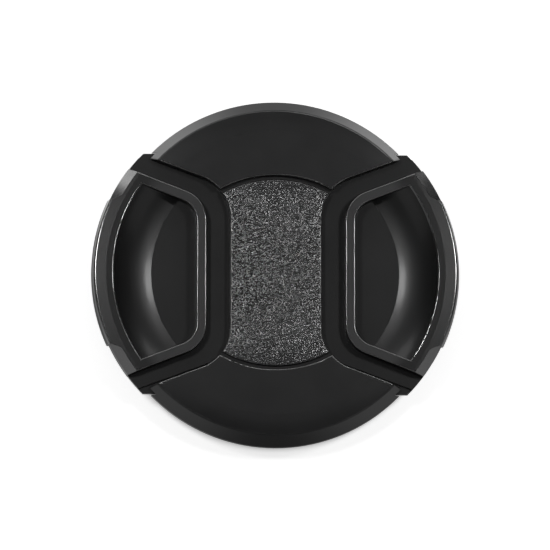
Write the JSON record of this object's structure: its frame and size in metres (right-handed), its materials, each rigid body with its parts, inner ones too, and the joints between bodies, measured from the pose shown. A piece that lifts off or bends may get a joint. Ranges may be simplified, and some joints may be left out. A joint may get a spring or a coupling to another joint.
{
  "type": "camera lens cap",
  "caption": "Round camera lens cap with a textured middle pad and sprung pinch latches, each with a finger pocket, that grip the filter thread of a lens.",
  "frame": {"origin": "middle of the cap's footprint, at the height of the skirt's end, on which the cap lies face up", "axes": "+Z out of the front face, +X across the cap from the left latch to the right one, +Y up in the front view"},
  "size_m": [0.0646, 0.061, 0.009],
  "materials": {
    "cover_plastic": "fine moulded satin, with a coarse grain on the middle pad",
    "latch_plastic": "fine moulded satin",
    "plate_plastic": "matte",
    "spring_steel": "drawn wire"
  },
  "bodies": {
    "cap": {"front_cover": "cover_plastic", "back_plate": "plate_plastic", "spring_upper": "spring_steel", "spring_lower": "spring_steel"},
    "latch_left": {"latch_left": "latch_plastic"},
    "latch_right": {"latch_right": "latch_plastic"}
  },
  "joints": [
    {"name": "latch_left_slide", "type": "slide", "parent": "cap", "child": "latch_left", "axis": [1, 0, 0], "range_m": [0, 0.003], "stiffness_N_per_m": 600, "springref_m": -0.003, "deforming": ["spring_upper", "spring_lower"]},
    {"name": "latch_right_slide", "type": "slide", "parent": "cap", "child": "latch_right", "axis": [-1, 0, 0], "range_m": [0, 0.003], "stiffness_N_per_m": 600, "springref_m": -0.003, "deforming": ["spring_upper", "spring_lower"]}
  ]
}
